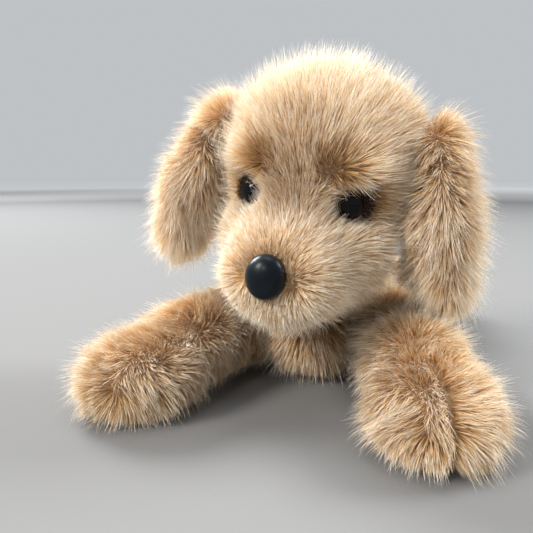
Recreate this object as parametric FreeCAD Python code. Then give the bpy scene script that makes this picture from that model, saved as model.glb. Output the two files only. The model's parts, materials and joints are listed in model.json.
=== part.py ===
import FreeCAD, Part
import os
from math import atan, cos, degrees, radians, sin, tan

# Plush puppy lying on its belly, in millimetres. +Z is up, the puppy faces -Y and its left side is +X.
# The skins are fur fabric: a thin backing with a deep pile, so a skin's outer face is the face of the pile.
# Everything is laid out from a point on the ground under the front of the chest, and centred at the end.

SKIN = 9.0  # fur fabric, backing and pile together
BACKING = 1.2  # the woven backing alone
SLIP = 0.5  # gap between two parts of the toy that move on each other
SNUG = 0.3  # gap between a filling and the skin around it
BIG = 400.0  # half of a block that is larger than the toy
QUARTER_TURN = 90.0
SIDES = (("left", 1), ("right", -1))

# Torso: chest, barrel, haunches and breast, each an egg (centre x, forward, up; half sizes x, forward, up).
CHEST = ((0, -75, 50), (66, 62, 56))
BARREL = ((0, -122, 46), (63, 75, 54))
HAUNCH = ((0, -172, 48), (71, 49, 54))
BREAST = ((0, -33, 36), (36, 44, 44))
BELLY_PANEL_TOP = 12.0
BELLY_BAG = ((0, -108, 30), (30, 34, 14))
CLOSING_SEAM_START = -90.0  # forward of the layout point
CLOSING_SEAM_LENGTH = 70.0
THREAD = 1.2
LABEL = (1.0, 16.0, 22.0)  # thickness, width along the body, length out of the seam

# Neck: one ball that the head and the torso both seat on.
NECK_CENTRE = (6, -8, 108)
NECK_RADIUS = 50.0
NECK_BAND = 36.0  # half height of the fur collar round the ball

# Head, measured from the neck's centre, upright and facing forward.
SKULL = ((0, 23, 70), (74, 76, 78))
CHEEKS = ((0, 46, 15), (66, 56, 53))
MUZZLE = ((0, 80, -3), (51, 50, 41))
HEAD_TURN = -3.0  # degrees, towards the puppy's right
HEAD_TILT = 7.0  # degrees, top of the head towards the puppy's left
GUSSET_HALF_WIDTH = 24.0
CHIN_TOP = -4.0

# Face fittings of moulded plastic.
EYE_PLACE = (40, 79, 48)
EYE_OUTWARD = 31.0  # degrees from straight ahead
EYE_RADIUS = 9.5
EYE_HEIGHT = 6.5
NOSE_PLACE = (0, 124, 0)
NOSE_HALF = (13.5, 11.5, 15.0)
SHANK_RADIUS = 2.6
SHANK_LENGTH = 14.0
WASHER_RADIUS = 9.0
WASHER_THICKNESS = 2.0
SOCKET_MARGIN = 2.5

# Ears, measured like the head: a hanging flap and the root that joins it to the skull.
EAR_FLAP = ((100, 14, 46), (23, 44, 72))
EAR_ROOT = ((83, 14, 96), (31, 35, 24))
EAR_LEAN = 8.0  # degrees, top towards the skull
EAR_LIFT = {"left": 0.0, "right": 6.0}  # degrees that each ear already stands off the head
EAR_HINGE = (60, 14, 119)

# Legs: a ball in the torso, an arm from its root to the wrist and an egg-shaped paw, flat on the ground.
# The hind leg's arm has a slim root, so that it clears the haunch as the leg swings.
FORELEG = {
    "joint": (66, -22, 38),
    "ball": 42.0,
    "root": 40.0,
    "reach": 122.0,
    "splay": 18.0,
    "wrist": 35.0,
    "wrist_height": 29.0,
    "paw": (46, 54, 41),
    "paw_height": 21.0,
}
HIND_LEG = {
    "joint": (55, -182, 46),
    "ball": 39.0,
    "root": 25.0,
    "reach": 82.0,
    "splay": 165.0,
    "wrist": 30.0,
    "wrist_height": 24.0,
    "paw": (35, 42, 36),
    "paw_height": 17.0,
}
SOLE_TOP = 6.0
PAW_BAG = (22, 26, 11)
PAW_BAG_HEIGHT = 24.0

# Tail: a ball in the rump and a tapering brush that stands clear of the hind feet.
TAIL_ROOT = (0, -222, 80)
TAIL_BALL = 20.0
TAIL_THICK = 18.0  # radius of the brush at its root
TAIL_LENGTH = 78.0
TAIL_TIP = 14.0


def at(x, forward, up):
    return FreeCAD.Vector(x, -forward, up)


def egg(centre, half, grow=0.0):
    """An ellipsoid, larger by grow on every side."""
    scale = FreeCAD.Matrix()
    scale.scale(half[0] + grow, half[1] + grow, half[2] + grow)
    solid = Part.makeSphere(1.0).transformGeometry(scale)
    solid.translate(at(*centre))
    return solid


def ball(centre, radius):
    return Part.makeSphere(radius, at(*centre))


def block(low, high):
    """A box from its lowest to its highest corner, in X, Y and Z."""
    return Part.makeBox(high[0] - low[0], high[1] - low[1], high[2] - low[2], FreeCAD.Vector(*low))


def below(height):
    return block((-BIG, -BIG, -BIG), (BIG, BIG, height))


def above(height):
    return block((-BIG, -BIG, height), (BIG, BIG, BIG))


def joined(solids):
    return solids[0].fuse(solids[1:]).removeSplitter()


def side_block(side):
    """Everything on one side of the plane x = 0: side is 1 for the left, -1 for the right."""
    low, high = sorted((0.0, side * BIG))
    return block((low, -BIG, -BIG), (high, BIG, BIG))


def head_placement():
    tilt = FreeCAD.Rotation(FreeCAD.Vector(0, 1, 0), HEAD_TILT)
    turn = FreeCAD.Rotation(FreeCAD.Vector(0, 0, 1), HEAD_TURN)
    return FreeCAD.Placement(at(*NECK_CENTRE), turn.multiply(tilt))


def on_head(solid):
    """Moves a solid from the head's own upright frame to its place on the toy."""
    moved = solid.copy()
    moved.Placement = head_placement().multiply(moved.Placement)
    return moved


def head_shape(grow=0.0):
    return joined([egg(*SKULL, grow), egg(*CHEEKS, grow), egg(*MUZZLE, grow)])


def fitting_frame(place, outward):
    """Puts a fitting made along +Z with its back at the origin on the face, its front outward."""
    turn = FreeCAD.Rotation(FreeCAD.Vector(0, 0, 1), outward)
    forward = FreeCAD.Rotation(FreeCAD.Vector(1, 0, 0), QUARTER_TURN)
    return FreeCAD.Placement(at(*place), turn.multiply(forward))


def placed(solid, placement):
    moved = solid.copy()
    moved.Placement = placement.multiply(moved.Placement)
    return moved


def dome(half_width, height, half_height):
    """The front half of an ellipsoid, its flat back on the plane z = 0."""
    scale = FreeCAD.Matrix()
    scale.scale(half_width, half_height, height)
    return Part.makeSphere(1.0).transformGeometry(scale).common(above(0.0))


def fitting(half_width, height, half_height):
    """A safety eye or nose: the dome and the shank behind it."""
    shank = Part.makeCylinder(SHANK_RADIUS, SHANK_LENGTH, FreeCAD.Vector(0, 0, -SHANK_LENGTH))
    return joined([dome(half_width, height, half_height), shank])


def washer():
    """The lock washer that grips the shank behind the backing."""
    back = FreeCAD.Vector(0, 0, -BACKING - WASHER_THICKNESS)
    ring = Part.makeCylinder(WASHER_RADIUS, WASHER_THICKNESS, back)
    return ring.cut(Part.makeCylinder(SHANK_RADIUS, WASHER_THICKNESS, back))


def socket(radius, depth):
    """The short-cut pile round a fitting, opening outward from the backing."""
    rim = radius + SOCKET_MARGIN
    return Part.makeCone(rim, rim + depth / 2, depth)


def face_fittings():
    """Each fitting as name, placement, solid and the socket cut in the pile for it."""
    eye = fitting(EYE_RADIUS, EYE_HEIGHT, EYE_RADIUS)
    eye_socket = socket(EYE_RADIUS, 2 * SKIN)
    nose = fitting(NOSE_HALF[0], NOSE_HALF[1], NOSE_HALF[2])
    nose_socket = socket(NOSE_HALF[2], 2 * SKIN)
    x, forward, up = EYE_PLACE
    depth = EYE_HEIGHT
    back_x = depth * sin(radians(EYE_OUTWARD))
    back_forward = depth * cos(radians(EYE_OUTWARD))
    left = fitting_frame((x - back_x, forward - back_forward, up), EYE_OUTWARD)
    right = fitting_frame((back_x - x, forward - back_forward, up), -EYE_OUTWARD)
    return [
        ("left_eye", left, eye, eye_socket),
        ("right_eye", right, eye, eye_socket),
        ("nose", fitting_frame(NOSE_PLACE, 0.0), nose, nose_socket),
    ]


def make_head():
    neck_room = ball((0, 0, 0), NECK_RADIUS + SLIP)
    skin = head_shape().cut(head_shape(-SKIN)).cut(neck_room)
    filling = head_shape(-SKIN - SNUG).cut(ball((0, 0, 0), NECK_RADIUS + SLIP + BACKING))
    nodes = {}
    for name, place, solid, pile_socket in face_fittings():
        hardware = placed(solid, place)
        lock = placed(washer(), place)
        skin = skin.cut([placed(pile_socket, place), hardware, lock])
        filling = filling.cut([hardware, lock])
        filling = filling.cut(placed(pile_socket, place))
        nodes[name] = hardware
        nodes[name + "_washer"] = lock
    gusset = block((-GUSSET_HALF_WIDTH, -BIG, CHIN_TOP), (GUSSET_HALF_WIDTH, BIG, BIG))
    chin = block((-BIG, -BIG, -BIG), (BIG, BIG, CHIN_TOP))
    sides = skin.cut([gusset, chin])
    nodes["head_centre_gusset"] = skin.common(gusset)
    nodes["chin_panel"] = skin.common(chin)
    nodes["head_left_panel"] = sides.common(side_block(1))
    nodes["head_right_panel"] = sides.common(side_block(-1))
    nodes["head_stuffing"] = filling
    return {name: on_head(solid) for name, solid in nodes.items()}


def make_ear(side, lift):
    """The flap and its root, trimmed to the skull and split into the fur outside and the lining."""
    middle = at(*EAR_FLAP[0])
    front = FreeCAD.Vector(0, 1, 0)
    flap = egg(*EAR_FLAP)
    inner_half = block((-BIG, -BIG, -BIG), (EAR_FLAP[0][0], BIG, BIG))
    ear = [flap, egg(*EAR_ROOT), inner_half]
    for solid in (flap, inner_half):
        solid.rotate(middle, front, -EAR_LEAN)
    for solid in ear:
        solid.rotate(at(*EAR_HINGE), front, -lift)
    if side < 0:
        ear = [solid.mirror(FreeCAD.Vector(0, 0, 0), FreeCAD.Vector(1, 0, 0)) for solid in ear]
    flap, root, inner_half = ear
    whole = flap.fuse(root).cut(head_shape(SLIP))
    return whole.cut(inner_half), whole.common(inner_half)


def make_ears():
    nodes = {}
    for side_name, side in SIDES:
        fur, lining = make_ear(side, EAR_LIFT[side_name])
        nodes[side_name + "_ear_fur"] = on_head(fur)
        nodes[side_name + "_ear_lining"] = on_head(lining)
    return nodes


def make_neck():
    whole = ball(NECK_CENTRE, NECK_RADIUS)
    height = NECK_CENTRE[2]
    band = block((-BIG, -BIG, height - NECK_BAND), (BIG, BIG, height + NECK_BAND))
    skin = whole.cut(ball(NECK_CENTRE, NECK_RADIUS - SKIN)).common(band)
    core = whole.cut(band).fuse(ball(NECK_CENTRE, NECK_RADIUS - SKIN).common(band))
    return {"neck_collar": skin, "neck_stuffing": core.removeSplitter()}


def leg_direction(leg, side):
    angle = radians(leg["splay"])
    return (side * sin(angle), cos(angle))


def leg_joint(leg, side):
    x, forward, up = leg["joint"]
    return (side * x, forward, up)


def paw_place(leg, side, height):
    joint = leg_joint(leg, side)
    out, ahead = leg_direction(leg, side)
    return (joint[0] + out * leg["reach"], joint[1] + ahead * leg["reach"], height)


def leg_shape(leg, side, grow=0.0):
    """Ball, arm and paw in one, not yet cut off at the ground."""
    joint = leg_joint(leg, side)
    shoulder = at(*joint)
    arm_line = at(*paw_place(leg, side, leg["wrist_height"])) - shoulder
    arm = Part.makeCone(leg["root"] + grow, leg["wrist"] + grow, arm_line.Length, shoulder, arm_line)
    paw = egg((0, 0, 0), leg["paw"], grow)
    paw.rotate(FreeCAD.Vector(0, 0, 0), FreeCAD.Vector(0, 0, 1), side * leg["splay"])
    paw.translate(at(*paw_place(leg, side, leg["paw_height"])))
    return joined([ball(joint, leg["ball"] + grow), arm, paw])


def leg_split(leg, side):
    """The half space on the outer side of the vertical plane along the leg."""
    half = side_block(side)
    lean = degrees(atan(tan(radians(leg["splay"]))))
    half.rotate(FreeCAD.Vector(0, 0, 0), FreeCAD.Vector(0, 0, 1), side * lean)
    half.translate(at(*leg_joint(leg, side)))
    return half


def make_leg(name, leg, side):
    hollow = leg_shape(leg, side, -SKIN).cut(below(SKIN))
    skin = leg_shape(leg, side).cut([below(0.0), hollow])
    filling = leg_shape(leg, side, -SKIN - SNUG).cut(below(SKIN + SNUG))
    bag = egg(paw_place(leg, side, PAW_BAG_HEIGHT), PAW_BAG)
    upper = skin.cut(below(SOLE_TOP))
    outer_half = leg_split(leg, side)
    return {
        name + "_outer_panel": upper.common(outer_half),
        name + "_inner_panel": upper.cut(outer_half),
        name + "_sole": skin.common(below(SOLE_TOP)),
        name + "_stuffing": filling.cut(bag),
        name + "_pellet_bag": bag,
    }


def tail_shape(grow=0.0):
    root = at(*TAIL_ROOT)
    back = FreeCAD.Vector(0, 1, 0)
    brush = Part.makeCone(TAIL_THICK + grow, TAIL_TIP + grow, TAIL_LENGTH, root, back)
    tip = Part.makeSphere(TAIL_TIP + grow, root + back * TAIL_LENGTH)
    return joined([ball(TAIL_ROOT, TAIL_BALL + grow), brush, tip])


def make_tail():
    return {
        "tail_skin": tail_shape().cut(tail_shape(-SKIN)),
        "tail_stuffing": tail_shape(-SKIN - SNUG),
    }


def torso_shape(grow=0.0):
    return joined([egg(*part, grow) for part in (CHEST, BARREL, HAUNCH, BREAST)])


def limb_rooms(wall):
    """Spherical seats for the neck, legs and tail, larger than each ball by the wall."""
    rooms = [ball(NECK_CENTRE, NECK_RADIUS + wall), ball(TAIL_ROOT, TAIL_BALL + wall)]
    for leg in (FORELEG, HIND_LEG):
        for side in (1, -1):
            rooms.append(ball(leg_joint(leg, side), leg["ball"] + wall))
    return rooms


def make_torso():
    hollow = torso_shape(-SKIN).cut(limb_rooms(SLIP + SKIN)).cut(below(SKIN))
    skin = torso_shape().cut(limb_rooms(SLIP)).cut(below(0.0)).cut(hollow)
    filling = torso_shape(-SKIN - SNUG).cut(limb_rooms(SLIP + SKIN + SNUG)).cut(below(SKIN + SNUG))
    bag = egg(*BELLY_BAG)
    seam_start = at(0, CLOSING_SEAM_START, THREAD)
    seam = Part.makeCylinder(THREAD / 2, CLOSING_SEAM_LENGTH, seam_start, at(0, -1, 0))
    thick, width, length = LABEL
    edge = at(0, BARREL[0][1], BELLY_PANEL_TOP)
    label = Part.makeBox(length, width, thick, edge - FreeCAD.Vector(0, width / 2, 0))
    label.translate(FreeCAD.Vector(BARREL[1][0] - length / 2, 0, 0))
    skin = skin.cut([seam, label])
    upper = skin.cut(below(BELLY_PANEL_TOP))
    return {
        "torso_left_panel": upper.common(side_block(1)),
        "torso_right_panel": upper.common(side_block(-1)),
        "belly_panel": skin.common(below(BELLY_PANEL_TOP)),
        "torso_stuffing": filling.cut(bag),
        "belly_pellet_bag": bag,
        "belly_closing_seam": seam,
        "blank_label": label,
    }


def make_nodes():
    nodes = {}
    nodes.update(make_torso())
    nodes.update(make_neck())
    nodes.update(make_head())
    nodes.update(make_ears())
    for side_name, side in SIDES:
        nodes.update(make_leg(side_name + "_foreleg", FORELEG, side))
        nodes.update(make_leg(side_name + "_hind_leg", HIND_LEG, side))
    nodes.update(make_tail())
    return nodes


def base_centre(nodes):
    """The middle of the whole toy's box, on the ground."""
    box = FreeCAD.BoundBox()
    for solid in nodes.values():
        box.add(solid.optimalBoundingBox(False, False))
    return FreeCAD.Vector((box.XMin + box.XMax) / 2, (box.YMin + box.YMax) / 2, 0)


def write(nodes):
    os.makedirs("parts", exist_ok=True)
    centre = base_centre(nodes)
    for name, solid in nodes.items():
        solid.translate(-centre)
        solid.exportStep("parts/" + name + ".step")
    return centre


write(make_nodes())
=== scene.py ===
import json
import math

import bmesh
import bpy
import numpy as np
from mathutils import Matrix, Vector


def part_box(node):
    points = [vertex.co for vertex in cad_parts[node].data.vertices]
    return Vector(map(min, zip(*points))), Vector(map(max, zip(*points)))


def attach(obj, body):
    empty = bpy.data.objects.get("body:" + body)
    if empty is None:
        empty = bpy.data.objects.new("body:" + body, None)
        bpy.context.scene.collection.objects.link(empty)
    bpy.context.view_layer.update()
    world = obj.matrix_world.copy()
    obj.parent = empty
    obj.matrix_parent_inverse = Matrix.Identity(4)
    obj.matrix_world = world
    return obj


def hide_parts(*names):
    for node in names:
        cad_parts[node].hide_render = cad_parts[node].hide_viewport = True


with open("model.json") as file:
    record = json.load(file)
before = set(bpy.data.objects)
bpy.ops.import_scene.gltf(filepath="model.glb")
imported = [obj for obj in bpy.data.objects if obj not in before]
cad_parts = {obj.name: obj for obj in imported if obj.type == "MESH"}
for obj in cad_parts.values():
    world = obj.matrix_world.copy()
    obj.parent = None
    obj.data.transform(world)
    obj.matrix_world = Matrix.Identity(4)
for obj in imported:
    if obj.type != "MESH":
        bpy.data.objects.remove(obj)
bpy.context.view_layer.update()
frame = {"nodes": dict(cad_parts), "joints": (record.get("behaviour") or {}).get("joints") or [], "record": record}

# A plush puppy: each body of the frame gets a stuffed skin, and fur that grows from it strand by strand.
# Sizes are in metres. The puppy faces -Y, its left side is +X and +Z is up.

MM = 0.001
JOINTS = {joint["name"]: joint for joint in frame["joints"]}
RNG = np.random.default_rng(816)
FLOOR_GAP = 0.4 * MM  # how far the lowest hair stays above the floor
SIDES = (("left", 1), ("right", -1))


# ---------------------------------------------------------------- places taken from the frame

def joint_point(name):
    return np.array(JOINTS[name]["pos_m"], float)


def joint_axis(name):
    axis = np.array(JOINTS[name]["axis"], float)
    return axis / np.linalg.norm(axis)


def box_middle(node):
    low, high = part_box(node)
    return np.array((low + high) / 2)


def unit(vectors):
    return vectors / np.maximum(np.linalg.norm(vectors, axis=-1, keepdims=True), 1e-9)


NECK = joint_point("head_nod")
HEAD_LEFT = -joint_axis("head_nod")
HEAD_FORWARD = joint_axis("left_ear_lift")
HEAD_UP = np.cross(HEAD_FORWARD, HEAD_LEFT)
HEAD_AXES = np.stack([HEAD_LEFT, HEAD_FORWARD, HEAD_UP])


def head_local(points):
    """Points as (left, forward, up) in metres from the neck's centre, in the tilted head's own axes."""
    return (points - NECK) @ HEAD_AXES.T


NOSE = head_local(box_middle("nose"))
EYES = {side: head_local(box_middle(side + "_eye")) for side, _ in SIDES}


# ---------------------------------------------------------------- small mathematics

def lattice_noise(points, cell, seed, width=3):
    """Smooth noise between -1 and 1 with that many channels, changing over about one cell."""
    scaled = points / cell
    base = np.floor(scaled).astype(np.int64)
    part = scaled - base
    part = part * part * (3 - 2 * part)
    total = np.zeros((len(points), width))
    for corner in np.ndindex(2, 2, 2):
        at = base + np.array(corner)
        share = np.prod(np.where(corner, part, 1 - part), axis=1)
        mixed = at[:, 0] * 73856093 ^ at[:, 1] * 19349663 ^ at[:, 2] * 83492791 ^ seed * 2654435761
        for channel in range(width):
            value = (mixed + channel * 974634777) * 2246822519
            value = (value ^ (value >> 15)) * 3266489917 & 0xFFFFFF
            total[:, channel] += share * (value / 0x7FFFFF - 1)
    return total


def smoothstep(low, high, value):
    part = np.clip((value - low) / (high - low), 0, 1)
    return part * part * (3 - 2 * part)


def mix(first, second, share):
    share = np.asarray(share)
    if np.ndim(first) > 1 or np.ndim(second) > 1:
        share = share[:, None]
    return first * (1 - share) + second * share


# ---------------------------------------------------------------- meshes

def mesh_points(mesh):
    points = np.zeros(len(mesh.vertices) * 3, np.float32)
    mesh.vertices.foreach_get("co", points)
    return points.reshape(-1, 3).astype(float)


def mesh_normals(mesh):
    normals = np.zeros(len(mesh.vertices) * 3, np.float32)
    mesh.vertex_normals.foreach_get("vector", normals)
    return normals.reshape(-1, 3).astype(float)


def set_points(mesh, points):
    mesh.vertices.foreach_set("co", points.astype(np.float32).ravel())
    mesh.update()


def shade_smooth(mesh):
    mesh.polygons.foreach_set("use_smooth", np.ones(len(mesh.polygons), bool))
    mesh.update()


def new_object(name, mesh):
    piece = bpy.data.objects.new(name, mesh)
    bpy.context.scene.collection.objects.link(piece)
    return piece


def apply_modifiers(piece):
    graph = bpy.context.evaluated_depsgraph_get()
    made = bpy.data.meshes.new_from_object(piece.evaluated_get(graph))
    piece.modifiers.clear()
    piece.data = made


def relax(piece, times):
    bm = bmesh.new()
    bm.from_mesh(piece.data)
    for _ in range(times):
        bmesh.ops.smooth_vert(
            bm, verts=bm.verts, factor=0.5, use_axis_x=True, use_axis_y=True, use_axis_z=True
        )
    bm.to_mesh(piece.data)
    bm.free()


def merged_copy(name, nodes, voxel):
    """One closed skin round copies of CAD nodes."""
    bm = bmesh.new()
    for node in nodes:
        bm.from_mesh(frame["nodes"][node].data)
    mesh = bpy.data.meshes.new(name)
    bm.to_mesh(mesh)
    bm.free()
    mesh.materials.clear()
    piece = new_object(name, mesh)
    remesh = piece.modifiers.new("remesh", "REMESH")
    remesh.mode = "VOXEL"
    remesh.voxel_size = voxel
    apply_modifiers(piece)
    return piece


# ---------------------------------------------------------------- stuffed skins

PILE = 8.0 * MM  # how deep the backing lies under the face of the pile
SWELL = 5.0 * MM  # how far the filling may push a point of the backing
TUCK = 2.0 * MM  # how much smaller a skin is before it is filled
PRESSURE = 4.0  # of the filling on the cloth
CLOTH_FRAMES = 20
GROUND_GAP = 1.5 * MM  # between a backing and the floor
VOXEL = 4.0 * MM


def swell(piece, pressure, cap):
    """Fills a skin by cloth simulation, moving no point further than the cap."""
    start = mesh_points(piece.data)
    cloth = piece.modifiers.new("cloth", "CLOTH")
    cloth.settings.quality = 5
    cloth.settings.tension_stiffness = 25
    cloth.settings.compression_stiffness = 25
    cloth.settings.bending_stiffness = 2
    cloth.settings.use_pressure = True
    cloth.settings.uniform_pressure_force = pressure
    cloth.settings.effector_weights.gravity = 0
    cloth.point_cache.frame_start = 1
    cloth.point_cache.frame_end = CLOTH_FRAMES
    for step in range(1, CLOTH_FRAMES + 1):
        bpy.context.scene.frame_set(step)
    apply_modifiers(piece)
    bpy.context.scene.frame_set(1)
    moved = mesh_points(piece.data) - start
    length = np.linalg.norm(moved, axis=1, keepdims=True)
    set_points(piece.data, start + moved * np.minimum(1, cap / np.maximum(length, 1e-9)))


def stuffed_skin(body, depth, shift=None, relaxing=8):
    """The skin of one body, sunk under the pile by the depth and shifted, both from point to point."""
    nodes = [name for name in frame["record"]["behaviour"]["bodies"][body] if is_soft(name)]
    piece = merged_copy(body + "_backing", nodes, VOXEL)
    relax(piece, relaxing)
    points, normals = mesh_points(piece.data), mesh_normals(piece.data)
    sunk = points - normals * (depth(points) + TUCK)[:, None]
    if shift:
        sunk += shift(points)
    sunk[:, 2] = np.maximum(sunk[:, 2], GROUND_GAP)
    set_points(piece.data, sunk)
    relax(piece, 3)
    swell(piece, PRESSURE, SWELL)
    piece.modifiers.new("round", "SUBSURF").levels = 1
    apply_modifiers(piece)
    shade_smooth(piece.data)
    return piece, nodes


def is_soft(node):
    return not any(word in node for word in ("eye", "nose", "washer", "label", "seam"))


# ---------------------------------------------------------------- fur

RIBBON_RINGS = (0.0, 0.36, 0.72)  # where along a strand its pairs of points lie; the tip closes it
GUARD_SHARE = 0.2  # long thin hairs that stand out of the pile


def scatter(mesh, density):
    """Random roots on a mesh: points, normals. Density is per square metre at given points."""
    mesh.calc_loop_triangles()
    corners = np.zeros(len(mesh.loop_triangles) * 3, np.int32)
    mesh.loop_triangles.foreach_get("vertices", corners)
    corners = corners.reshape(-1, 3)
    points, normals = mesh_points(mesh), mesh_normals(mesh)
    a, b, c = (points[corners[:, i]] for i in range(3))
    area = np.linalg.norm(np.cross(b - a, c - a), axis=1) / 2
    wanted = area * density((a + b + c) / 3)
    count = np.floor(wanted + RNG.random(len(wanted))).astype(int)
    chosen = np.repeat(np.arange(len(count)), count)
    u, v = RNG.random((2, len(chosen), 1))
    flip = u + v > 1
    u, v = np.where(flip, 1 - u, u), np.where(flip, 1 - v, v)
    tri = corners[chosen]
    roots = points[tri[:, 0]] * (1 - u - v) + points[tri[:, 1]] * u + points[tri[:, 2]] * v
    facing = normals[tri[:, 0]] * (1 - u - v) + normals[tri[:, 1]] * u + normals[tri[:, 2]] * v
    return roots, unit(facing)


def clump(roots, tips, middles, cell, pull):
    """Draws the strands of each small neighbourhood together into a tuft."""
    cell = float(cell[0])
    warped = roots + lattice_noise(roots, cell * 2.2, 7) * cell * 0.8
    keys = np.floor(warped / cell).astype(np.int64)
    keys = keys[:, 0] * 73856093 ^ keys[:, 1] * 19349663 ^ keys[:, 2] * 83492791
    _, tuft = np.unique(keys, return_inverse=True)
    number = np.bincount(tuft)[:, None]
    centre = np.stack([np.bincount(tuft, tips[:, k]) for k in range(3)], axis=1) / number
    strength = (pull * (0.35 + 0.65 * RNG.random(len(number))[tuft]))[:, None]
    tips = tips + (centre[tuft] - tips) * strength
    root_centre = np.stack([np.bincount(tuft, roots[:, k]) for k in range(3)], axis=1) / number
    toward = (root_centre[tuft] + centre[tuft]) / 2
    middles = middles + (toward - middles) * strength * 0.35
    return tips, middles, tuft


def strand_mesh(name, roots, middles, tips, facing, width, tone):
    """Tapering ribbons, each a bent strand with its colour code kept in the texture map."""
    count = len(roots)
    rings = []
    codes = []
    spin = (RNG.random(count) - 0.5) * 2.2
    for along in RIBBON_RINGS + (1.0,):
        inner = mix(roots, middles, np.full(count, along))
        outer = mix(middles, tips, np.full(count, along))
        centre = mix(inner, outer, np.full(count, along))
        centre[:, 2] = np.maximum(centre[:, 2], FLOOR_GAP)
        direction = unit(outer - inner)
        across = unit(np.cross(direction, facing))
        lifted = np.cross(across, direction)
        across = across * np.cos(spin)[:, None] + lifted * np.sin(spin)[:, None]
        half = (width * (1 - 0.75 * along) / 2)[:, None]
        if along < 1:
            rings += [centre - across * half, centre + across * half]
            codes += [along, along]
        else:
            rings.append(centre)
            codes.append(along)
    per = len(rings)
    points = np.stack(rings, axis=1).reshape(-1, 3)
    points[:, 2] = np.maximum(points[:, 2], FLOOR_GAP)
    pattern = np.array([0, 1, 3, 2, 2, 3, 5, 4, 4, 5, 6])
    starts = np.array([0, 4, 8])
    loops = (np.arange(count)[:, None] * per + pattern).ravel()
    polygons = (np.arange(count)[:, None] * len(pattern) + starts).ravel()
    mesh = bpy.data.meshes.new(name)
    mesh.vertices.add(len(points))
    mesh.loops.add(len(loops))
    mesh.polygons.add(len(polygons))
    mesh.vertices.foreach_set("co", points.astype(np.float32).ravel())
    mesh.loops.foreach_set("vertex_index", loops.astype(np.int32))
    mesh.polygons.foreach_set("loop_start", polygons.astype(np.int32))
    mesh.update(calc_edges=True)
    uv = mesh.uv_layers.new(name="OFBake")
    along_code = np.tile(np.array(codes)[pattern], count)
    tone_code = np.repeat(tone, len(pattern))
    flat = np.stack([tone_code, along_code], axis=1) * 0.98 + 0.01
    uv.data.foreach_set("uv", flat.astype(np.float32).ravel())
    shade_smooth(mesh)
    return mesh


def grow(body, skin, style, panels):
    """Fur on a skin, one piece for each sewn panel. The style gives every root its flow, length, lean,
    tone, density and so on; panels maps a piece's name to the roots that belong to it."""
    roots, normals = scatter(skin.data, lambda points: style(points)["density"])
    look = style(roots)
    count = len(roots)
    guard = RNG.random(count) < GUARD_SHARE
    long_share = 1.25 + 0.70 * RNG.random(count) ** 1.5
    short_share = 0.75 + 0.35 * RNG.random(count)
    length = look["length"] * np.where(guard, long_share, short_share)
    flow = look["flow"]
    flow = unit(flow - (flow * normals).sum(1, keepdims=True) * normals)
    comb = lattice_noise(roots, 18 * MM, 3) * 0.34 + lattice_noise(roots, 6 * MM, 5) * 0.24
    comb *= look["wild"][:, None]
    fuzz = RNG.normal(size=roots.shape) * 0.12
    lean = look["lean"][:, None]
    start = unit(normals + flow * lean * 0.5 + comb * 0.5 + fuzz)
    end = unit(normals + flow * lean * 1.7 + comb * 1.2 + fuzz * 1.7)
    middles = roots + start * (length * 0.5)[:, None]
    tips = middles + end * (length * 0.5)[:, None]
    pull = look["pull"] * np.where(guard, 0.4, 1.0)
    tips, middles, tuft = clump(roots, tips, middles, look["tuft"], pull)
    tone = look["tone"] + RNG.normal(size=tuft.max() + 1)[tuft] * 0.15 + RNG.normal(size=count) * 0.17
    tone = np.clip(tone + lattice_noise(roots, 22 * MM, 11, 1)[:, 0] * 0.10 + guard * 0.20, 0, 1)
    width = look["width"] * (0.7 + 0.6 * RNG.random(count)) * np.where(guard, 0.7, 1.0)
    sunk = roots - normals * 0.8 * MM
    for name, belongs in panels(roots).items():
        mesh = strand_mesh(
            name, sunk[belongs], middles[belongs], tips[belongs],
            normals[belongs], width[belongs], tone[belongs],
        )
        dress(new_object(name, mesh), GOLDEN, body)


def strands(points, **values):
    """A style: each value is spread over all points."""
    return {
        key: value if np.ndim(value) else np.full(len(points), float(value))
        for key, value in values.items()
    }


# ---------------------------------------------------------------- materials

def material(name, roughness, specular=0.5, sheen=0.0, coat=0.0):
    made = bpy.data.materials.new(name)
    made.use_nodes = True
    shader = made.node_tree.nodes["Principled BSDF"]
    shader.inputs["Roughness"].default_value = roughness
    shader.inputs["Specular IOR Level"].default_value = specular
    shader.inputs["Sheen Weight"].default_value = sheen
    shader.inputs["Coat Weight"].default_value = coat
    return made, made.node_tree, shader


def ramp(tree, source, stops):
    node = tree.nodes.new("ShaderNodeValToRGB")
    elements = node.color_ramp.elements
    while len(elements) < len(stops):
        elements.new(0.5)
    for element, (place, colour) in zip(elements, stops):
        element.position = place
        element.color = (*colour, 1)
    tree.links.new(source, node.inputs["Fac"])
    return node.outputs["Color"]


def fur_material(name, light, dark):
    """Colour along the strand from root to tip, between a light and a dark run of the same pile. The tone code
    that picks between them carries painted light and shade as well as the pile's own tone.
    """
    made, tree, shader = material(name, 0.62, specular=0.25, sheen=0.25)
    shader.inputs["Sheen Roughness"].default_value = 0.4
    shader.inputs["Sheen Tint"].default_value = (1.0, 0.93, 0.82, 1)
    place = tree.nodes.new("ShaderNodeUVMap")
    place.uv_map = "OFBake"
    split = tree.nodes.new("ShaderNodeSeparateXYZ")
    tree.links.new(place.outputs["UV"], split.inputs["Vector"])
    blend = tree.nodes.new("ShaderNodeMix")
    blend.data_type = "RGBA"
    tree.links.new(split.outputs["X"], blend.inputs["Factor"])
    tree.links.new(ramp(tree, split.outputs["Y"], dark), blend.inputs["A"])
    tree.links.new(ramp(tree, split.outputs["Y"], light), blend.inputs["B"])
    tree.links.new(blend.outputs["Result"], shader.inputs["Base Color"])
    return made


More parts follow.
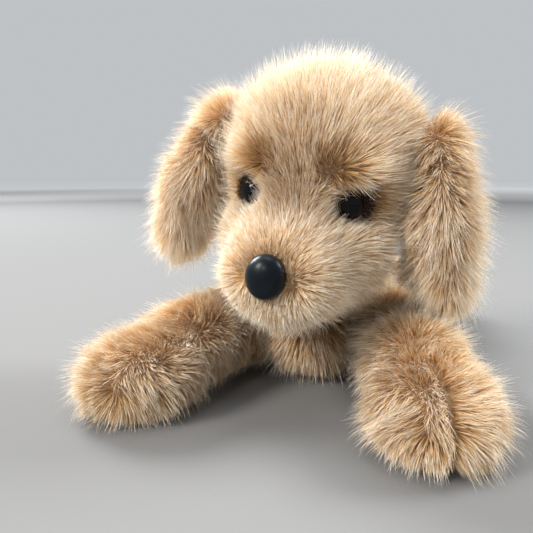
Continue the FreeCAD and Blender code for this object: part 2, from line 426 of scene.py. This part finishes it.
def mottled_material(name, scale, stops, roughness, specular=0.3, coat=0.0, sheen=0.0, bump=0.0):
    """A surface whose colour wanders between the stops."""
    made, tree, shader = material(name, roughness, specular, sheen, coat)
    noise = tree.nodes.new("ShaderNodeTexNoise")
    noise.inputs["Scale"].default_value = scale
    noise.inputs["Detail"].default_value = 6
    where = tree.nodes.new("ShaderNodeTexCoord")
    tree.links.new(where.outputs["Object"], noise.inputs["Vector"])
    tree.links.new(ramp(tree, noise.outputs["Fac"], stops), shader.inputs["Base Color"])
    if bump:
        height = tree.nodes.new("ShaderNodeBump")
        height.inputs["Strength"].default_value = bump
        height.inputs["Distance"].default_value = 0.3 * MM
        tree.links.new(noise.outputs["Fac"], height.inputs["Height"])
        tree.links.new(height.outputs["Normal"], shader.inputs["Normal"])
    return made


# The near-white tips are the pile's frosted tips and also paint the rim light along the edges of the fur.
GOLDEN = fur_material(
    "golden_fur",
    light=[
        (0.0, (0.42, 0.19, 0.055)),
        (0.25, (0.90, 0.55, 0.23)),
        (0.52, (0.98, 0.78, 0.48)),
        (0.82, (1.0, 0.96, 0.88)),
    ],
    dark=[
        (0.0, (0.05, 0.017, 0.004)),
        (0.35, (0.27, 0.11, 0.028)),
        (0.7, (0.60, 0.33, 0.11)),
        (0.95, (0.87, 0.65, 0.37)),
    ],
)
# Near-black lid hairs: dark lid fur whose colour also paints the shade in the eye's hollow.
LID_FUR_AND_SHADE = fur_material(
    "lid_fur_and_shade",
    light=[(0.0, (0.008, 0.005, 0.004)), (0.6, (0.03, 0.015, 0.008)), (1.0, (0.14, 0.08, 0.04))],
    dark=[(0.0, (0.004, 0.003, 0.003)), (0.6, (0.010, 0.007, 0.005)), (1.0, (0.03, 0.018, 0.012))],
)
BACKING = mottled_material(
    "fur_backing", 90, [(0.3, (0.30, 0.18, 0.09)), (0.7, (0.46, 0.30, 0.16))], 0.9, sheen=0.3, bump=0.4
)
# The faint blue in the near-black nose is painted reflection of the bluish window light.
NOSE_PLASTIC = mottled_material(
    "nose_plastic", 60, [(0.3, (0.003, 0.005, 0.008)), (0.7, (0.006, 0.010, 0.015))],
    0.34, specular=0.15, coat=0.03, bump=0.04,
)
WASHER = mottled_material("washer_plastic", 200, [(0.3, (0.75, 0.75, 0.72)), (0.7, (0.86, 0.86, 0.83))], 0.5)
THREAD = mottled_material(
    "sewing_thread", 900, [(0.3, (0.42, 0.28, 0.15)), (0.7, (0.62, 0.45, 0.26))], 0.7, bump=0.5
)
RIBBON = mottled_material(
    "label_ribbon", 1200, [(0.35, (0.80, 0.79, 0.76)), (0.65, (0.93, 0.92, 0.89))], 0.7, bump=0.5
)


def eye_material():
    made, tree, shader = material("eye_plastic", 0.05, specular=0.03, coat=0.22)
    shader.inputs["Coat Roughness"].default_value = 0.02
    place = tree.nodes.new("ShaderNodeUVMap")
    place.uv_map = "OFBake"
    split = tree.nodes.new("ShaderNodeSeparateXYZ")
    tree.links.new(place.outputs["UV"], split.inputs["Vector"])
    # Black lens with a thin amber-brown ring near the rim: iris colour that also paints the amber glint at the rim
    # of the eye.
    stops = [
        (0.0, (0.003, 0.003, 0.004)),
        (0.82, (0.003, 0.003, 0.004)),
        (0.87, (0.020, 0.008, 0.004)),
        (0.92, (0.10, 0.038, 0.010)),
        (0.96, (0.010, 0.006, 0.004)),
        (1.0, (0.004, 0.004, 0.004)),
    ]
    tree.links.new(ramp(tree, split.outputs["X"], stops), shader.inputs["Base Color"])
    return made


EYE_PLASTIC = eye_material()


def dress(piece, made, body, replaces=()):
    piece.data.materials.clear()
    piece.data.materials.append(made)
    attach(piece, body)
    if replaces:
        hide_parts(*replaces)
    return piece


# ---------------------------------------------------------------- how the fur lies on the head

GUSSET_HALF = 24 * MM
CHIN_TOP = -4 * MM


def near(points, centre, reach):
    """1 at the centre, fading to 0 at the reach."""
    return smoothstep(reach, 0.15 * reach, np.linalg.norm(points - np.asarray(centre), axis=1))


def both_sides(side, forward, up):
    """The same place on either side of the face, in metres from millimetres."""
    return [np.array([side, forward, up]) * MM, np.array([-side, forward, up]) * MM]


BROWS = both_sides(24, 84, 70)  # where the pile parts under the forehead
BROW_TUFTS = both_sides(42, 71, 67)
NOSE_WHORLS = both_sides(17, 119, -4)
HOLLOWS = both_sides(37, 70, 48)
CHEEKS = both_sides(44, 62, 12)
EAR_SEATS = both_sides(60, 22, 110)
STOP = np.array([0, 93, 58]) * MM


def head_depth(points):
    """How deep the backing lies under the face of the pile: less on the muzzle, at brows and cheeks."""
    local = head_local(points)
    muzzle = smoothstep(85 * MM, 30 * MM, np.linalg.norm(local - NOSE, axis=1))
    depth = mix(np.full(len(points), PILE), 3.0 * MM, muzzle)
    for brow, hollow, cheek in zip(BROW_TUFTS, HOLLOWS, CHEEKS):
        depth -= 4.5 * MM * near(local, brow + np.array([0, 3, 7]) * MM, 26 * MM)
        depth += 3.0 * MM * near(local, hollow, 20 * MM)
        depth -= 3.5 * MM * near(local, cheek, 34 * MM)
    for seat in EAR_SEATS:
        depth -= 7.0 * MM * near(local, seat, 40 * MM)
    return depth + 2.5 * MM * near(local, STOP, 26 * MM)


def head_style(points):
    local = head_local(points)
    side, forward, up = local.T
    size = len(points)
    from_nose = local - NOSE
    nose_gap = np.linalg.norm(from_nose, axis=1)
    muzzle = smoothstep(84 * MM, 40 * MM, nose_gap)
    crown = smoothstep(78 * MM, 125 * MM, up)
    outer = smoothstep(30 * MM, 66 * MM, np.abs(side))
    flow = unit(from_nose)
    flow[:, 2] -= 0.55 * outer * (1 - crown) + 0.5 * smoothstep(20 * MM, -40 * MM, forward)
    length = mix(np.full(size, 15.5), 8.5, muzzle) + 1.5 * crown
    length = mix(length, 6.0, smoothstep(30 * MM, 17 * MM, nose_gap))
    length = mix(length, 10.5, smoothstep(-12 * MM, -34 * MM, up) * muzzle)
    # Lighter on the crown and on the muzzle; the lower sides of the face are darker, which is painted shade on the
    # cheeks.
    tone = 0.68 + 0.20 * crown + 0.10 * muzzle - 0.20 * outer * (1 - crown)
    # Darker just above the nose: painted shade where the pile meets the nose.
    tone -= 0.30 * smoothstep(24 * MM, 14 * MM, nose_gap) * smoothstep(-6 * MM, 4 * MM, up)
    pull = np.full(size, 0.42)
    for brow, tuft, whorl in zip(BROWS, BROW_TUFTS, NOSE_WHORLS):
        parting = near(local, brow, 19 * MM)
        flow += unit(local - brow) * parting[:, None] * 1.6
        # The brow partings are darkened: painted shade in the parting of the pile.
        tone -= 0.75 * parting
        length *= 1 - 0.30 * parting
        lock = near(local, tuft, 20 * MM)
        flow += np.array([np.sign(tuft[0]) * 1.4, -0.3, 0.35]) * lock[:, None]
        tone += 0.52 * lock
        length += 3.0 * lock
        pull += 0.2 * lock
        curl = near(local, whorl, 24 * MM)
        flow += unit(local - whorl) * curl[:, None] * 1.5
        tone += 0.20 * curl
        length += 2.2 * curl
        pull += 0.25 * curl
    density = mix(np.full(size, 1.3), 1.9, muzzle) * 1e6
    density *= np.where(forward < -10 * MM, 0.7, 1)
    density *= np.where(np.linalg.norm(points - NECK, axis=1) < 58 * MM, 0.1, 1)
    density *= np.where(nose_gap < 12.5 * MM, 0, 1)
    for eye in EYES.values():
        gap = np.linalg.norm(local - eye, axis=1)
        close = smoothstep(27 * MM, 11 * MM, gap)
        flow = mix(flow, unit(local - eye) + np.array([0, -0.4, 0.0]), close * 0.9)
        length = mix(length, 4.0, smoothstep(25 * MM, 12 * MM, gap))
        # Darker round the eye and most of all over it: painted shade in the eye's hollow and under the lid.
        tone -= 0.55 * close * smoothstep(-14 * MM, 4 * MM, up - eye[2]) + 0.18 * close
        density *= np.where(gap < 10.5 * MM, 0, 1) * (1 + 0.5 * close)
    return strands(
        points, flow=unit(flow) @ HEAD_AXES, length=length * MM, lean=mix(np.full(size, 0.62), 1.05, muzzle),
        tone=tone, density=density, tuft=3.8 * MM, pull=pull, wild=1.0,
        width=mix(np.full(size, 0.44), 0.36, muzzle) * MM,
    )


def head_panels(points):
    side, _, up = head_local(points).T
    chin = up < CHIN_TOP
    centre = ~chin & (np.abs(side) < GUSSET_HALF)
    return {
        "head_fur_left": ~chin & ~centre & (side > 0),
        "head_fur_right": ~chin & ~centre & (side < 0),
        "head_fur_centre": centre,
        "head_fur_chin": chin,
    }


# ---------------------------------------------------------------- how the fur lies on the ears

def ear_sizes(name):
    """Depth, style and panels of an ear that hangs from its hinge."""
    hinge = joint_point(name + "_lift")
    side = 1 if name.startswith("left") else -1
    out = HEAD_LEFT * side
    slimmer = 4.0 if side > 0 else 0.0
    # Painted light: the right ear, on which the window_left lamp falls, is made paler than the left.
    painted_window_light = 0.04 if side > 0 else 0.28
    middle = (box_middle(name + "_fur") + box_middle(name + "_lining")) / 2

    def depth(points):
        drop = (hinge - points) @ HEAD_UP
        across = (points - middle) @ out
        tip = smoothstep(95 * MM, 150 * MM, drop)
        front = smoothstep(18 * MM, 46 * MM, (points - middle) @ HEAD_FORWARD)
        shoulder = smoothstep(40 * MM, 4 * MM, drop)
        inner = smoothstep(2 * MM, -14 * MM, across) * smoothstep(12 * MM, 50 * MM, drop)
        outer = smoothstep(0, 14 * MM, across) * smoothstep(20 * MM, 50 * MM, drop)
        return (5.0 - 8.0 * tip - 6.0 * front + 3.0 * shoulder - 10.0 * inner + outer * slimmer) * MM

    def shift(points):
        drop = (hinge - points) @ HEAD_UP
        across = (points - middle) @ out
        outer = smoothstep(-12 * MM, 22 * MM, across) * smoothstep(75 * MM, 12 * MM, drop)
        return -HEAD_UP * (19.0 * MM * outer)[:, None] - out * (9.0 * MM * outer)[:, None]

    def style(points):
        drop = (hinge - points) @ HEAD_UP
        across = (points - middle) @ out
        ahead = (points - middle) @ HEAD_FORWARD
        root = smoothstep(36 * MM, 4 * MM, drop)
        rim = smoothstep(22 * MM, 46 * MM, np.abs(ahead))
        flow = -HEAD_UP + out * 0.9 * root[:, None] + HEAD_FORWARD * (np.sign(ahead) * rim * 0.35)[:, None]
        parting = smoothstep(9 * MM, 1 * MM, np.abs(ahead - 33 * MM)) * smoothstep(20 * MM, 40 * MM, drop)
        # Painted light and shade: the outer face is lighter than the lining, which faces the head, and the parting
        # is darker. Lighter near the hinge.
        tone = 0.60 + painted_window_light + 0.24 * smoothstep(-4 * MM, 16 * MM, across) + 0.12 * root - 0.32 * parting
        length = 16.5 + 1.5 * smoothstep(90 * MM, 140 * MM, drop) - 3.0 * parting
        return strands(
            points, flow=unit(flow), length=length * MM, lean=0.68, tone=tone, density=1.45e6,
            tuft=4.2 * MM, pull=0.5, width=0.42 * MM, wild=1.2,
        )

    def panels(points):
        outer = (points - middle) @ out > 0
        return {name + "_pile_outer": outer, name + "_pile_lining": ~outer}

    return depth, style, panels, shift


# ---------------------------------------------------------------- how the fur lies on the legs

PAW_REACH = {"foreleg": 122 * MM, "hind_leg": 82 * MM}
WHORL_BEYOND = 38 * MM  # past the middle of the paw


def leg_sizes(name):
    """Depth, style and panels of a leg that lies on the ground."""
    root = joint_point(name + "_swing")
    ahead = unit((box_middle(name + "_pellet_bag") - root) * [1, 1, 0])
    side = 1 if name.startswith("left") else -1
    across = np.array([abs(ahead[1]) * side, abs(ahead[0]) * (1 if ahead[1] < 0 else -1), 0.0])
    reach = PAW_REACH[name.split("_", 1)[1]]
    whorl = np.array([reach + WHORL_BEYOND, -13 * MM, 26 * MM])

    def place(points):
        return np.stack([(points - root) @ ahead, (points - root) @ across, points[:, 2]], axis=1)

    def depth(points):
        spot = place(points)
        wrist = smoothstep(34 * MM, 10 * MM, np.abs(spot[:, 0] - reach * 0.62))
        return PILE - 5.0 * MM * wrist * smoothstep(15 * MM, 35 * MM, spot[:, 2])

    def style(points):
        spot = place(points)
        along, over, height = spot.T
        axes = np.stack([ahead, across, np.array([0.0, 0.0, 1.0])])
        paw = smoothstep(66 * MM, 10 * MM, np.linalg.norm(spot - whorl, axis=1))
        flow = np.tile([0.75, 0.0, -0.55], (len(points), 1))
        flow[:, 1] += over / (40 * MM) * 0.5
        flow = mix(flow, unit(spot - whorl) * 1.1, paw * 0.42)
        seam = smoothstep(6 * MM, 0.5 * MM, np.abs(over))
        seam *= smoothstep(reach - 10 * MM, reach + 25 * MM, along)
        flow[:, 1] += np.sign(over) * seam * 0.7
        eye = smoothstep(20 * MM, 2 * MM, np.linalg.norm(spot - whorl, axis=1))
        length = mix(np.full(len(points), 14.5), 16.0, paw) - 3.0 * seam - 3.0 * eye
        length = mix(np.full(len(points), 6.0), length, smoothstep(2 * MM, 18 * MM, height))
        # Painted light and shade: darker towards the floor and on the inner side, lighter on the outer side. The
        # seam parting and the whorl's eye are darkened as painted shade in the parted pile.
        tone = 0.61 + 0.18 * smoothstep(14 * MM, 62 * MM, height) - 0.20 * seam - 0.30 * eye
        tone += 0.10 * smoothstep(10 * MM, 40 * MM, over) - 0.10 * smoothstep(-10 * MM, -36 * MM, over)
        density = np.where(height < 6 * MM, 0.35e6, 1.15e6 if "fore" in name else 0.75e6)
        density = density * np.where(np.linalg.norm(points - root, axis=1) < 30 * MM, 0.4, 1)
        return strands(
            points, flow=unit(flow) @ axes, length=length * MM, lean=0.72, tone=tone, density=density,
            tuft=4.2 * MM, pull=0.45, width=0.44 * MM, wild=1.8,
        )

    def panels(points):
        outer = place(points)[:, 1] > 0
        return {name + "_fur_outer": outer, name + "_fur_inner": ~outer}

    return depth, style, panels


# ---------------------------------------------------------------- how the fur lies on the rest

SEATS = [("neck_turn", 56), ("tail_wag", 24)]
SEATS += [(side + "_foreleg_swing", 46) for side, _ in SIDES]
SEATS += [(side + "_hind_leg_swing", 43) for side, _ in SIDES]
CHEST_FRONT = joint_point("left_foreleg_swing")[1]


def torso_depth(points):
    chest = smoothstep(CHEST_FRONT + 12 * MM, CHEST_FRONT - 26 * MM, points[:, 1])
    return PILE - 13.0 * MM * chest * smoothstep(8 * MM, 24 * MM, points[:, 2])


def torso_style(points):
    size = len(points)
    height = points[:, 2]
    chest = smoothstep(CHEST_FRONT + 30 * MM, CHEST_FRONT - 10 * MM, points[:, 1])
    flow = mix(np.tile([0.0, 0.75, -0.5], (size, 1)), np.array([0.0, -0.15, -1.0]), chest)
    flow[:, 0] += points[:, 0] / (60 * MM) * 0.3
    density = np.where(height < 6 * MM, 0.18e6, 0.55e6) * (1 + 0.7 * chest)
    for joint, reach in SEATS:
        density *= np.where(np.linalg.norm(points - joint_point(joint), axis=1) < reach * MM, 0.12, 1)
    length = mix(np.full(size, 14.5), 19.0, chest)
    length = mix(np.full(size, 6.0), length, smoothstep(2 * MM, 18 * MM, height))
    # Painted shade: darker towards the floor and a little darker on the chest under the head.
    tone = 0.50 + 0.20 * smoothstep(40 * MM, 95 * MM, height) - 0.06 * chest
    return strands(
        points, flow=unit(flow), length=length * MM, lean=0.8, tone=tone, density=density,
        tuft=4.8 * MM, pull=0.48, width=0.58 * MM, wild=1.3,
    )


def torso_panels(points):
    belly = points[:, 2] < 12 * MM
    return {
        "torso_fur_left": ~belly & (points[:, 0] > 0),
        "torso_fur_right": ~belly & (points[:, 0] <= 0),
        "torso_fur_belly": belly,
    }


def neck_style(points):
    # The neck's low tone is painted shade under the head.
    return strands(
        points, flow=np.tile([0.0, -0.1, -1.0], (len(points), 1)), length=16 * MM, lean=0.8, tone=0.44,
        density=0.7e6, tuft=4.6 * MM, pull=0.48, width=0.55 * MM, wild=1.3,
    )


def tail_style(points):
    return strands(
        points, flow=np.tile([0.0, 1.0, -0.15], (len(points), 1)), length=17 * MM, lean=0.9, tone=0.62,
        density=1.2e6, tuft=4.6 * MM, pull=0.45, width=0.55 * MM, wild=1.3,
    )


def even_depth(points):
    return np.full(len(points), PILE)


def whole(name):
    return lambda points: {name: np.full(len(points), True)}


COATS = {
    "head": (head_depth, head_style, head_panels),
    "neck": (even_depth, neck_style, whole("neck_fur")),
    "torso": (torso_depth, torso_style, torso_panels),
    "tail": (even_depth, tail_style, whole("tail_fur")),
}
for side_name, _ in SIDES:
    COATS[side_name + "_ear"] = ear_sizes(side_name + "_ear")
    for leg in PAW_REACH:
        COATS[side_name + "_" + leg] = leg_sizes(side_name + "_" + leg)

for body, (depth, style, panels, *shift) in COATS.items():
    skin, stood_for = stuffed_skin(body, depth, *shift)
    dress(skin, BACKING, body, stood_for)
    grow(body, skin, style, panels)


# ---------------------------------------------------------------- eyes, nose and the hidden hardware

def node_points(node):
    return mesh_points(frame["nodes"][node].data)


def fitting_axis(name):
    """Which way a safety eye or nose faces: straight out of its flat washer."""
    ring = node_points(name + "_washer")
    _, turns = np.linalg.eigh(np.cov((ring - ring.mean(0)).T))
    axis = turns[:, 0]
    return axis * np.sign(axis @ (ring.mean(0) - box_middle("head_stuffing")))


def plastic_dome(name, node, half_width, half_height, rise, fullness, rows=22, turns=60):
    """The moulded front of an eye or nose: rounded face, rolled rim and flat back.
    Its texture map runs from the middle to the rim."""
    out = fitting_axis(node)
    up = unit(HEAD_UP - (HEAD_UP @ out) * out)
    across = np.cross(up, out)
    points = node_points(node)
    ahead = points @ out
    tip = points[ahead > ahead.max() - 0.2 * MM].mean(0)
    base = tip - out * rise
    quarter = math.pi / 2
    bends = [quarter * row / rows for row in range(1, rows + 1)]
    profile = [(math.sin(bend), math.cos(bend) ** fullness) for bend in bends]
    profile += [(0.99, -0.08), (0.94, -0.14), (0.5, -0.14)]
    verts, codes, faces = [tip], [(0.01, 0.5)], []
    for reach, height in profile:
        for turn in range(turns):
            angle = 2 * math.pi * turn / turns
            place = base + across * math.cos(angle) * half_width * reach
            verts.append(place + up * math.sin(angle) * half_height * reach + out * rise * height)
            codes.append((reach * 0.98 + 0.01, turn / turns * 0.98 + 0.01))
    for turn in range(turns):
        faces.append((0, 1 + turn, 1 + (turn + 1) % turns))
    for row in range(len(profile) - 1):
        first = 1 + row * turns
        for turn in range(turns):
            after = (turn + 1) % turns
            faces.append((first + turn, first + turns + turn, first + turns + after, first + after))
    last = 1 + (len(profile) - 1) * turns
    faces.append(tuple(last + turn for turn in range(turns)))
    mesh = bpy.data.meshes.new(name)
    mesh.from_pydata([tuple(vert) for vert in verts], [], faces)
    layer = mesh.uv_layers.new(name="OFBake")
    for loop in mesh.loops:
        layer.data[loop.index].uv = codes[loop.vertex_index]
    bm = bmesh.new()
    bm.from_mesh(mesh)
    bmesh.ops.recalc_face_normals(bm, faces=bm.faces)
    bm.to_mesh(mesh)
    bm.free()
    shade_smooth(mesh)
    return new_object(name, mesh)


def lashes(name, node, radius, side):
    """Short near-black hairs over the upper and outer rim of an eye: dark lid fur whose colour also paints the
    shade in the eye's hollow.
    """
    out = fitting_axis(node)
    up = unit(HEAD_UP - (HEAD_UP @ out) * out)
    outward = np.cross(up, out)
    outward = outward * np.sign(outward @ HEAD_LEFT * side)
    points = node_points(node)
    ahead = points @ out
    tip = points[ahead > ahead.max() - 0.2 * MM].mean(0)
    base = tip - out * EYE_RISE
    count = LASHES
    angle = np.radians(RNG.uniform(-35, 165, count))
    away = outward * np.cos(angle)[:, None] + up * np.sin(angle)[:, None]
    corner = smoothstep(0.2, 1.0, np.cos(angle - 0.35))
    spread = RNG.uniform(0.92, 1.16 + 0.48 * corner, count)
    roots = base + away * (radius * spread)[:, None] - out * 1.0 * MM
    wobble = RNG.normal(size=(count, 3)) * 0.25
    length = RNG.uniform(3.0, 6.0, count)[:, None] * MM
    middles = roots + unit(out * 1.0 + away * 0.15 + wobble) * length * 0.5
    tips = middles + unit(out * 0.5 + away * 0.4 + wobble * 1.5) * length * 0.5
    facing = np.tile(out, (count, 1))
    tone = np.clip(RNG.normal(0.2, 0.25, count), 0, 1)
    return new_object(name, strand_mesh(name, roots, middles, tips, facing, np.full(count, 0.4 * MM), tone))


EYE_RADIUS = 9.5 * MM
EYE_RISE = 6.5 * MM
LASHES = 900

for side_name, side in SIDES:
    eye = plastic_dome(side_name + "_eye_dome", side_name + "_eye", EYE_RADIUS, EYE_RADIUS, EYE_RISE, 1.0)
    dress(eye, EYE_PLASTIC, "head", [side_name + "_eye"])
    lid = lashes(side_name + "_eye_lashes", side_name + "_eye", EYE_RADIUS, side)
    dress(lid, LID_FUR_AND_SHADE, "head")

nose = plastic_dome("nose_dome", "nose", 13.5 * MM, 15 * MM, 11.5 * MM, 0.85)
dress(nose, NOSE_PLASTIC, "head", ["nose"])


def tube(name, path, radius, around=8):
    """A round thread along a path of points."""
    path = np.array(path)
    heading = unit(np.gradient(path, axis=0))
    first = unit(np.cross(heading, np.array([0.0, 0.0, 1.0]) + heading * 0.1))
    second = np.cross(heading, first)
    verts, faces = [], []
    for spot, one, two in zip(path, first, second):
        for turn in range(around):
            angle = 2 * math.pi * turn / around
            verts.append(tuple(spot + (one * math.cos(angle) + two * math.sin(angle)) * radius))
    for ring in range(len(path) - 1):
        for turn in range(around):
            after = (turn + 1) % around
            start, later = ring * around, (ring + 1) * around
            faces.append((start + turn, start + after, later + after, later + turn))
    faces.append(tuple(range(around))[::-1])
    faces.append(tuple((len(path) - 1) * around + turn for turn in range(around)))
    mesh = bpy.data.meshes.new(name)
    mesh.from_pydata(verts, [], faces)
    shade_smooth(mesh)
    return new_object(name, mesh)


def closing_stitches():
    """The hand-sewn ladder stitch that closes the belly."""
    low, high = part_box("belly_closing_seam")
    length = high[1] - low[1]
    steps = 160
    path = []
    for step in range(steps + 1):
        share = step / steps
        sway = math.sin(share * math.pi * 2 * 9) * 1.4 * MM
        lift = 1.2 * MM + 0.35 * MM * math.cos(share * math.pi * 2 * 18)
        path.append(((low[0] + high[0]) / 2 + sway, low[1] + length * share, lift))
    return tube("belly_stitches", path, 0.5 * MM)


def ribbon_label():
    """A blank ribbon, folded double and sewn into the side seam."""
    low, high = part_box("blank_label")
    steps, rows = 14, 6
    half = (high[2] - low[2]) / 2
    middle = (low + high) / 2
    verts, faces = [], []
    loop = []
    for step in range(steps + 1):
        loop.append((low[0] + (high[0] - low[0] - half) * step / steps, half))
    for step in range(1, steps):
        angle = math.pi / 2 - math.pi * step / steps
        loop.append((high[0] - half + math.cos(angle) * half, math.sin(angle) * half))
    for step in range(steps + 1):
        loop.append((high[0] - half - (high[0] - low[0] - half) * step / steps, -half))
    for x, up in loop:
        for row in range(rows + 1):
            y = low[1] + (high[1] - low[1]) * row / rows
            wave = 0.25 * MM * math.sin(row * 1.1 + x / MM * 0.3)
            verts.append((x, y, middle[2] + up * 0.9 + wave))
    for ring in range(len(loop) - 1):
        for row in range(rows):
            first = ring * (rows + 1) + row
            faces.append((first, first + 1, first + rows + 2, first + rows + 1))
    mesh = bpy.data.meshes.new("folded_label")
    mesh.from_pydata(verts, [], faces)
    shade_smooth(mesh)
    return new_object("folded_label", mesh)


dress(closing_stitches(), THREAD, "torso", ["belly_closing_seam"])
dress(ribbon_label(), RIBBON, "torso", ["blank_label"])

for side_name in ("left_eye", "right_eye", "nose"):
    piece = frame["nodes"][side_name + "_washer"]
    piece.data.materials.clear()
    piece.data.materials.append(WASHER)


# ---------------------------------------------------------------- stage, light and camera

def plane(name, size, height):
    bm = bmesh.new()
    bmesh.ops.create_grid(bm, x_segments=2, y_segments=2, size=size)
    bmesh.ops.translate(bm, verts=bm.verts, vec=(0, 0, height))
    mesh = bpy.data.meshes.new(name)
    bm.to_mesh(mesh)
    bm.free()
    return new_object(name, mesh)


def floor_material():
    """A pale matt floor that grows lighter with the distance from the toy, so no horizon shows."""
    made, tree, shader = material("pale_floor", 1.0, specular=0.0)
    where = tree.nodes.new("ShaderNodeTexCoord")
    distance = tree.nodes.new("ShaderNodeVectorMath")
    distance.operation = "LENGTH"
    tree.links.new(where.outputs["Object"], distance.inputs[0])
    noise = tree.nodes.new("ShaderNodeTexNoise")
    noise.inputs["Scale"].default_value = 3
    tree.links.new(where.outputs["Object"], noise.inputs["Vector"])
    spread = tree.nodes.new("ShaderNodeMath")
    spread.operation = "MULTIPLY_ADD"
    tree.links.new(noise.outputs["Fac"], spread.inputs[0])
    spread.inputs[1].default_value = 0.04
    tree.links.new(distance.outputs["Value"], spread.inputs[2])
    scaled = tree.nodes.new("ShaderNodeMath")
    scaled.operation = "DIVIDE"
    tree.links.new(spread.outputs["Value"], scaled.inputs[0])
    scaled.inputs[1].default_value = FLOOR_HALF
    stops = [
        (0.0, (0.20, 0.198, 0.195)),
        (0.18, (0.17, 0.168, 0.166)),
        (0.33, (0.14, 0.14, 0.14)),
        (0.45, (0.38, 0.38, 0.38)),
        (0.60, (0.88, 0.88, 0.88)),
        (0.85, (0.96, 0.96, 0.96)),
    ]
    tree.links.new(ramp(tree, scaled.outputs["Value"], stops), shader.inputs["Base Color"])
    return made


FLOOR_HALF = 9.0
floor = plane("floor", FLOOR_HALF, 0.0)
floor.data.materials.append(floor_material())


def area_light(name, place, target, size, power, colour=(1, 1, 1)):
    light = bpy.data.lights.new(name, "AREA")
    light.shape = "DISK"
    light.size = size
    light.energy = power
    light.color = colour
    lamp = new_object(name, light)
    lamp.location = place
    lamp.rotation_euler = (Vector(target) - Vector(place)).to_track_quat("-Z", "Y").to_euler()
    return lamp


HEAD_MIDDLE = tuple(box_middle("head_stuffing"))
area_light("window_left", (-2.6, 1.4, 2.1), HEAD_MIDDLE, 1.5, 245, (0.95, 0.98, 1.0))
area_light("window_right", (2.4, 1.6, 2.1), HEAD_MIDDLE, 1.5, 150, (0.95, 0.98, 1.0))
area_light("front_key", (-1.9, -2.2, 2.1), HEAD_MIDDLE, 1.1, 115, (1.0, 0.96, 0.91))
area_light("top_soft", (0.0, 0.2, 2.8), HEAD_MIDDLE, 1.6, 25, (1.0, 0.99, 0.97))
area_light("catch_light", (-0.45, -2.4, 1.5), HEAD_MIDDLE, 0.3, 10, (0.9, 0.95, 1.0))

world = bpy.data.worlds.new("studio")
bpy.context.scene.world = world
world.use_nodes = True
world.node_tree.nodes["Background"].inputs["Color"].default_value = (0.93, 0.965, 1.0, 1)
world.node_tree.nodes["Background"].inputs["Strength"].default_value = 0.56

CAMERA_PLACE = Vector((0.1116, -0.5433, 0.175))
CAMERA_AZIMUTH = math.radians(18.0)
CAMERA_DOWN = math.radians(9.45)
CAMERA_LENS = 39.2  # for a 36 mm wide sensor

camera_data = bpy.data.cameras.new("camera")
camera_data.lens = CAMERA_LENS
camera_data.sensor_width = 36.0
camera = new_object("camera", camera_data)
camera.location = CAMERA_PLACE
gaze = Vector((
    -math.sin(CAMERA_AZIMUTH) * math.cos(CAMERA_DOWN),
    math.cos(CAMERA_AZIMUTH) * math.cos(CAMERA_DOWN),
    -math.sin(CAMERA_DOWN),
))
camera.rotation_euler = gaze.to_track_quat("-Z", "Y").to_euler()
bpy.context.scene.camera = camera
bpy.context.scene.view_settings.view_transform = "Standard"
